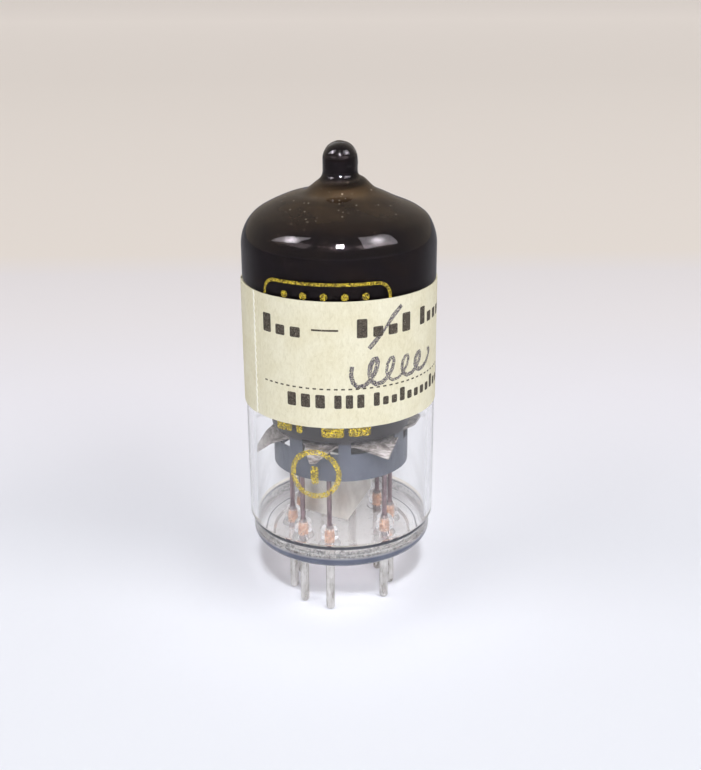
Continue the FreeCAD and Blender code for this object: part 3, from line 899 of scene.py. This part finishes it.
# azimuth, elevation, width and height in metres, power in watts
SOFT_BOXES = ((-66.6, 36.4, 1.10, 0.45, 6.6), (52.0, 38.0, 1.10, 0.45, 10.8))
BOX_DISTANCE = 1.5
LIGHTS_AIM_Z = 30.0            # height on the tube that the lights point at
FLAG_REACH = (0.095, 6.0)      # radii in metres of a dark ring on the floor, seen only in reflections: a painted dark reflection standing in for shade on the floor
FLAG_Z = 0.1
FLAG_STEP = 10                 # degrees
FLOOR_HALF = 4.0               # metres
FLOOR_Z = -0.02                # a little under the pins
ROOM_SEEN = (0.75, 0.70, 0.65)   # what the camera sees behind the floor, itself or through glass
# leaning cards seen only in the glass: middle, span across and span upwards (each azimuth and elevation),
# and radiance at the rim and in the middle
GLEAMS = (
    ((-68, 38), (36, 10), (12, 20), (3.4, 24.0)),
    ((53, 38), (45, -4), (0, 28), (3.4, 24.0)),
    ((1.5, 34.5), (9.5, 0), (0, 7), (190.0, 190.0)),
)
GLEAM_CORE = 0.16              # a third of the way in metres over which a card's glow fades


def toward(azimuth, elevation):
    """Direction from the tube."""
    a, e = math.radians(azimuth), math.radians(elevation)
    return Vector((math.sin(a) * math.cos(e), -math.cos(a) * math.cos(e), math.sin(e)))


def add_light(name, kind, direction, distance, **settings):
    data = bpy.data.lights.new(name, kind)
    for key, value in settings.items():
        setattr(data, key, value)
    lamp = bpy.data.objects.new(name, data)
    lamp.location = Vector((0, 0, LIGHTS_AIM_Z * MM)) + direction * distance
    lamp.rotation_euler = direction.to_track_quat("Z", "Y").to_euler()
    bpy.context.scene.collection.objects.link(lamp)
    return lamp


def reflected_only(name, verts, faces, look):
    """Staged mesh that shows only in reflections."""
    mesh = bpy.data.meshes.new(name)
    mesh.from_pydata(verts, [], faces)
    mesh.materials.append(look)
    made = bpy.data.objects.new(name, mesh)
    bpy.context.scene.collection.objects.link(made)
    for ray in ("camera", "diffuse", "transmission", "volume_scatter", "shadow"):
        setattr(made, "visible_" + ray, False)


def build_flag():
    """Dark ring round the tube, a little lighter behind it: painted dark reflections standing in for the
    shade on the floor in front and the brighter room behind.
    """
    verts = []
    for azimuth in range(-180, 181, FLAG_STEP):
        verts += [spot(azimuth, distance / MM, FLAG_Z) for distance in FLAG_REACH]
    faces = [(n, n + 1, n + 3, n + 2) for n in range(0, len(verts) - 2, 2)]
    look, tree = new_look("black_flag")
    at = add(tree, "TexCoord").outputs["Object"]
    outward = add(tree, "VectorMath", {0: at}, operation="NORMALIZE").outputs["Vector"]
    back = add(tree, "SeparateXYZ", {"Vector": outward}).outputs["Y"]
    # darkest in front and lighter behind: painted shade, seen only in reflections
    shade = ramp(tree, spread(tree, back, -0.6, 0.6), (
        (0.0, (0.02, 0.02, 0.023)),
        (0.6, (0.07, 0.07, 0.08)),
        (1.0, (0.22, 0.22, 0.24)),
    ))
    finish_look(tree, add(tree, "BsdfDiffuse", {"Color": shade}).outputs["BSDF"])
    reflected_only("black_flag", verts, faces, look)


def build_gleam(name, middle, across, upwards, radiance):
    """Glowing card with its corners half a span either side of its middle, brightest there."""
    low, high = radiance
    core = toward(*middle) * BOX_DISTANCE
    corners = []
    for right, up in ((-0.5, -0.5), (-0.5, 0.5), (0.5, 0.5), (0.5, -0.5)):
        azimuth, elevation = (middle[n] + right * across[n] + up * upwards[n] for n in (0, 1))
        corners.append(toward(azimuth, elevation) * BOX_DISTANCE)
    look, tree = new_look(name)
    at = add(tree, "TexCoord").outputs["Object"]
    away = add(tree, "VectorMath", {0: at, 1: core}, operation="DISTANCE").outputs["Value"]
    fade = {"Value": away, "From Min": GLEAM_CORE * 3, "From Max": 0.0}
    glow = add(tree, "MapRange", fade, interpolation_type="SMOOTHERSTEP").outputs["Result"]
    glow = combine(tree, "POWER", glow, 3.0)
    strength = spread(tree, glow, 0.0, 1.0, low, high)
    light = add(tree, "Emission", {"Color": (1.0, 0.93, 1.0, 1), "Strength": strength})
    finish_look(tree, light.outputs["Emission"])
    reflected_only(name, corners, [(0, 1, 2, 3)], look)


def build_floor():
    mesh = bpy.data.meshes.new("floor")
    size = FLOOR_HALF
    corners = [(-size, -size, 0), (size, -size, 0), (size, size, 0), (-size, size, 0)]
    mesh.from_pydata(corners, [], [(0, 1, 2, 3)])
    mesh.materials.append(floor_look())
    floor = bpy.data.objects.new("floor", mesh)
    floor.location.z = FLOOR_Z * MM
    bpy.context.scene.collection.objects.link(floor)


def build_lights():
    """A soft sun high in front, and a soft box on either side. None of them shows in reflections."""
    sun = {"energy": SUN_STRENGTH, "angle": math.radians(SUN_WIDTH), "color": (0.97, 0.97, 1.0)}
    key = add_light("key", "SUN", toward(SUN_AZIMUTH, SUN_HEIGHT), 1.0, **sun)
    key.visible_glossy = False
    for n, (azimuth, elevation, width, height, power) in enumerate(SOFT_BOXES):
        panel = {"shape": "RECTANGLE", "size": width, "size_y": height, "color": (1.0, 0.98, 0.96)}
        direction = toward(azimuth, elevation)
        box = add_light(f"soft_box_{n + 1}", "AREA", direction, BOX_DISTANCE, energy=power, **panel)
        box.visible_glossy = False


def build_room():
    """Dim light from all round, a little warmer behind, with a pale wall for the camera and the glass."""
    world = bpy.data.worlds.new("room")
    bpy.context.scene.world = world
    world.use_nodes = True
    tree = world.node_tree
    tree.nodes.clear()
    direction = add(tree, "TexCoord").outputs["Generated"]
    back = add(tree, "SeparateXYZ", {"Vector": direction}).outputs["Y"]
    glow = blend(tree, spread(tree, back, -0.3, 0.6), (0.13, 0.13, 0.14), (0.33, 0.29, 0.25))
    path = add(tree, "LightPath").outputs
    seen = combine(tree, "MAXIMUM", path["Is Camera Ray"], path["Is Transmission Ray"])
    colour = blend(tree, seen, glow, ROOM_SEEN)
    room = add(tree, "Background", {"Color": colour, "Strength": 1.0})
    output = add(tree, "OutputWorld")
    tree.links.new(room.outputs["Background"], output.inputs["Surface"])


def build_studio():
    build_floor()
    build_flag()
    for number, card in enumerate(GLEAMS):
        build_gleam(f"gleam_{number + 1}", *card)
    build_lights()
    build_room()


def build_camera():
    pitch, yaw, roll = (math.radians(a) for a in (CAMERA_PITCH, CAMERA_YAW, CAMERA_ROLL))
    ahead = Vector((math.sin(yaw) * math.cos(pitch), math.cos(yaw) * math.cos(pitch), -math.sin(pitch)))
    level = Vector((math.cos(yaw), -math.sin(yaw), 0))
    up = level.cross(ahead)
    right = level * math.cos(roll) + up * math.sin(roll)
    above = up * math.cos(roll) - level * math.sin(roll)
    data = bpy.data.cameras.new("camera")
    data.sensor_width = SENSOR_W
    data.lens = CAMERA_LENS
    data.clip_start = 1 * MM
    camera = bpy.data.objects.new("camera", data)
    columns = Matrix((right, above, -ahead)).transposed().to_4x4()
    camera.matrix_world = Matrix.Translation(Vector(CAMERA_AT) * MM) @ columns
    bpy.context.scene.collection.objects.link(camera)
    bpy.context.scene.camera = camera
    bpy.context.scene.view_settings.view_transform = "Standard"


build_camera()
dress_cad()
build_glass()
build_pins()
build_label()
build_ink()
build_pencil()
build_yellow()
build_studio()
